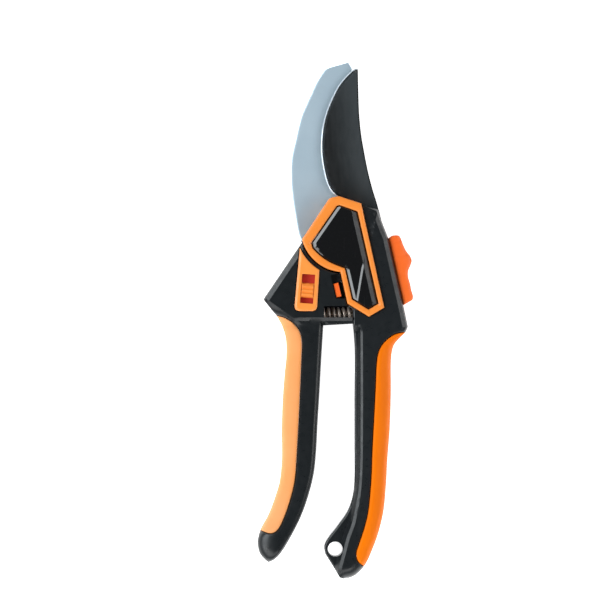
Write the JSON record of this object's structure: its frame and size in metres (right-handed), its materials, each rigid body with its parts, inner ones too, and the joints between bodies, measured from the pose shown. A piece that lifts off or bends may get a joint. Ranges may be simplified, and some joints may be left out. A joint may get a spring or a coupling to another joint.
{
  "type": "pruning shears",
  "caption": "Bypass pruning shears with a hook blade, a coated cutting blade, soft-grip handles, a thumb lock, a width selector and an opening spring.",
  "frame": {"origin": "on the pivot axis, in the plane of the underside, at the centre of the pivot bolt's flat head", "axes": "+Y towards the blade tips, along the closed shears; +Z out of the badge, along the pivot axis; +X towards the thumb lock"},
  "size_m": [0.0662, 0.2198, 0.0191],
  "materials": {
    "black_nylon": "satin moulded glass-filled nylon",
    "right_soft_grip": "matt soft-touch elastomer, orange",
    "left_soft_grip": "matt soft-touch elastomer, pale orange",
    "satin_steel": "satin ground stainless steel",
    "coated_steel": "black low-friction coating over steel, bare along the ground edge",
    "orange_plastic": "semi-gloss moulded plastic",
    "gloss_black": "high-gloss moulded plastic",
    "lock_orange": "satin moulded plastic",
    "red_plastic": "semi-gloss moulded plastic",
    "spring_steel": "drawn spring wire",
    "zinc_steel": "bright zinc plated",
    "bronze": "sintered bronze"
  },
  "bodies": {
    "right_handle": {"right_back_shell": "black_nylon", "right_front_shell": "black_nylon", "right_grip_inlay": "right_soft_grip", "hook_blade": "satin_steel", "badge_rim": "orange_plastic", "badge_panel": "gloss_black", "opening_spring": "spring_steel", "lock_click_spring": "spring_steel", "lock_click_ball": "spring_steel", "pivot_bolt": "zinc_steel", "pivot_washer": "zinc_steel", "pivot_nut": "zinc_steel", "hook_rivet_1": "zinc_steel", "hook_rivet_2": "zinc_steel", "right_screw_1": "zinc_steel", "right_screw_2": "zinc_steel", "right_screw_3": "zinc_steel"},
    "left_handle": {"left_back_shell": "black_nylon", "left_front_shell": "black_nylon", "left_grip_inlay": "left_soft_grip", "cutting_blade": "coated_steel", "pivot_bush": "bronze", "selector_plate": "orange_plastic", "selector_indicator": "red_plastic", "blade_rivet_1": "zinc_steel", "blade_rivet_2": "zinc_steel", "left_screw_1": "zinc_steel", "left_screw_2": "zinc_steel", "left_screw_3": "zinc_steel"},
    "selector": {"selector_button": "orange_plastic"},
    "lock": {"lock_bar": "lock_orange", "lock_slider": "lock_orange"}
  },
  "joints": [
    {"name": "pivot", "type": "hinge", "parent": "right_handle", "child": "left_handle", "pos_m": [0, 0, 0.009], "axis": [0, 0, -1], "range_deg": [0, 32], "deforming": ["opening_spring"]},
    {"name": "selector_slide", "type": "slide", "parent": "left_handle", "child": "selector", "axis": [0.0785, 0.9969, 0], "range_m": [-0.0025, 0.0039]},
    {"name": "lock_slide", "type": "slide", "parent": "right_handle", "child": "lock", "axis": [-0.2215, 0.9751, 0], "range_m": [0, 0.0035]}
  ]
}
